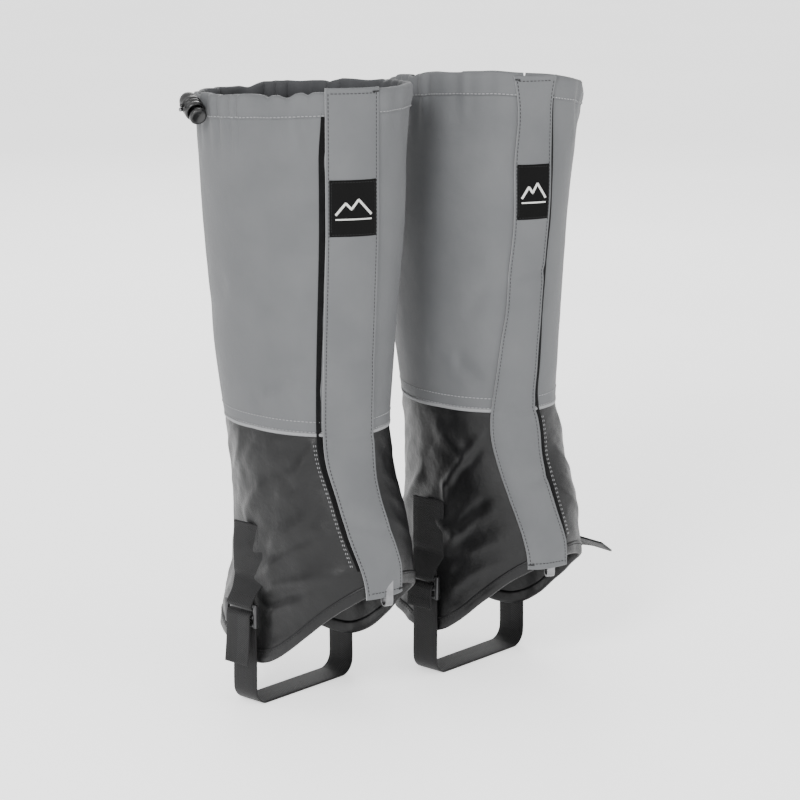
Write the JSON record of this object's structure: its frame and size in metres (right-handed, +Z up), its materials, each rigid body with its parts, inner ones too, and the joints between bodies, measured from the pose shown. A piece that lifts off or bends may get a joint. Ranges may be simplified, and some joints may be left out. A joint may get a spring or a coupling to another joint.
{
  "type": "hiking gaiters",
  "caption": "Pair of knee-high hiking gaiters with a front hook-and-loop flap, a drawcord round the top, and an under-foot strap on ladder buckles.",
  "frame": {"origin": "on the plane of the under-foot straps' lowest faces, midway between the two legs", "axes": "+Z up the legs, toes towards -Y, the wearer's right leg on the -X side"},
  "size_m": [0.3176, 0.2446, 0.4871],
  "materials": {
    "grey_coated_cloth": "coated grey polyester, matt",
    "black_cloth": "heavier black nylon with a slight sheen",
    "touch_tape": "black hook-and-loop tape",
    "woven_label": "black woven patch",
    "elastic_cord": "black braided elastic",
    "black_webbing": "black 25 mm webbing",
    "black_plastic": "moulded acetal",
    "buckle_metal": "dark lacquered wire and plate",
    "steel": "plated steel"
  },
  "bodies": {
    "right_shell": {"right_bottom_hem": "black_cloth", "right_cord_eyelet": "steel", "right_drawcord": "elastic_cord", "right_flap_binding": "grey_coated_cloth", "right_front_flap_foot": "grey_coated_cloth", "right_hook_tape_foot": "touch_tape", "right_inner_tab": "black_webbing", "right_lace_hook": "steel", "right_loop_tape": "touch_tape", "right_lower_inner_panel": "black_cloth", "right_lower_outer_panel": "black_cloth", "right_outer_tab": "black_webbing", "right_top_casing": "grey_coated_cloth", "right_upper_inner_panel": "grey_coated_cloth", "right_upper_outer_panel": "grey_coated_cloth"},
    "right_flap": {"right_front_flap": "grey_coated_cloth", "right_hook_tape": "touch_tape", "right_label": "woven_label"},
    "right_outer_buckle": {"right_outer_buckle": "buckle_metal"},
    "right_inner_buckle": {"right_inner_buckle": "buckle_metal"},
    "right_strap": {"right_instep_strap": "black_webbing"},
    "right_cord_lock": {"right_cord_lock": "black_plastic", "right_cord_ends": "elastic_cord", "right_lock_spring": "steel"},
    "right_lock_button": {"right_lock_button": "black_plastic"},
    "left_shell": {"left_bottom_hem": "black_cloth", "left_cord_eyelet": "steel", "left_drawcord": "elastic_cord", "left_flap_binding": "grey_coated_cloth", "left_front_flap_foot": "grey_coated_cloth", "left_hook_tape_foot": "touch_tape", "left_inner_tab": "black_webbing", "left_lace_hook": "steel", "left_loop_tape": "touch_tape", "left_lower_inner_panel": "black_cloth", "left_lower_outer_panel": "black_cloth", "left_outer_tab": "black_webbing", "left_top_casing": "grey_coated_cloth", "left_upper_inner_panel": "grey_coated_cloth", "left_upper_outer_panel": "grey_coated_cloth"},
    "left_flap": {"left_front_flap": "grey_coated_cloth", "left_hook_tape": "touch_tape", "left_label": "woven_label"},
    "left_outer_buckle": {"left_outer_buckle": "buckle_metal"},
    "left_inner_buckle": {"left_inner_buckle": "buckle_metal"},
    "left_strap": {"left_instep_strap": "black_webbing", "left_strap_tail": "black_webbing"},
    "left_cord_lock": {"left_cord_lock": "black_plastic", "left_cord_ends": "elastic_cord", "left_lock_spring": "steel"},
    "left_lock_button": {"left_lock_button": "black_plastic"}
  },
  "joints": [
    {"name": "right_flap_hinge", "type": "hinge", "parent": "right_shell", "child": "right_flap", "pos_m": [-0.07728, -0.04978, 0.2225], "axis": [-0.0442, -0.0646, 0.9969], "range_deg": [0, 110]},
    {"name": "right_outer_buckle_hinge", "type": "hinge", "parent": "right_shell", "child": "right_outer_buckle", "pos_m": [-0.1315, 0.044, 0.082], "axis": [0, 1, 0], "range_deg": [-8, 8]},
    {"name": "right_strap_hinge", "type": "hinge", "parent": "right_outer_buckle", "child": "right_strap", "pos_m": [-0.1315, 0.044, 0.073], "axis": [0, 1, 0], "range_deg": [-8, 8]},
    {"name": "right_inner_buckle_hinge", "type": "hinge", "parent": "right_shell", "child": "right_inner_buckle", "pos_m": [-0.0165, 0.044, 0.082], "axis": [0, 1, 0], "range_deg": [-8, 8]},
    {"name": "right_cord_lock_slide", "type": "slide", "parent": "right_shell", "child": "right_cord_lock", "axis": [-0.9255, 0.3788, 0], "range_m": [0, 0.01]},
    {"name": "right_lock_button_slide", "type": "slide", "parent": "right_cord_lock", "child": "right_lock_button", "axis": [0.3409, 0.8329, 0.436], "range_m": [0, 0.0035], "stiffness_N_per_m": 600, "springref_m": -0.003},
    {"name": "left_flap_hinge", "type": "hinge", "parent": "left_shell", "child": "left_flap", "pos_m": [0.02589, -0.07068, 0.2225], "axis": [0.0135, 0.0851, -0.9963], "range_deg": [0, 110]},
    {"name": "left_outer_buckle_hinge", "type": "hinge", "parent": "left_shell", "child": "left_outer_buckle", "pos_m": [0.1315, -0.011, 0.082], "axis": [0, 1, 0], "range_deg": [-8, 8]},
    {"name": "left_strap_hinge", "type": "hinge", "parent": "left_outer_buckle", "child": "left_strap", "pos_m": [0.1315, -0.011, 0.073], "axis": [0, 1, 0], "range_deg": [-8, 8]},
    {"name": "left_inner_buckle_hinge", "type": "hinge", "parent": "left_shell", "child": "left_inner_buckle", "pos_m": [0.0165, -0.011, 0.082], "axis": [0, 1, 0], "range_deg": [-8, 8]},
    {"name": "left_cord_lock_slide", "type": "slide", "parent": "left_shell", "child": "left_cord_lock", "axis": [0.9941, 0.1088, 0], "range_m": [0, 0.01]},
    {"name": "left_lock_button_slide", "type": "slide", "parent": "left_cord_lock", "child": "left_lock_button", "axis": [-0.0979, 0.8946, 0.436], "range_m": [0, 0.0035], "stiffness_N_per_m": 600, "springref_m": -0.003},
    {"name": "pair_spacing", "type": "slide", "parent": "right_shell", "child": "left_shell", "axis": [1, 0, 0], "range_m": [0, 0.25]}
  ],
  "couplings": [
    {"joint": "right_strap_hinge", "follows": "right_outer_buckle_hinge", "ratio": -1},
    {"joint": "right_inner_buckle_hinge", "follows": "right_outer_buckle_hinge", "ratio": 1},
    {"joint": "left_strap_hinge", "follows": "left_outer_buckle_hinge", "ratio": -1},
    {"joint": "left_inner_buckle_hinge", "follows": "left_outer_buckle_hinge", "ratio": 1}
  ]
}
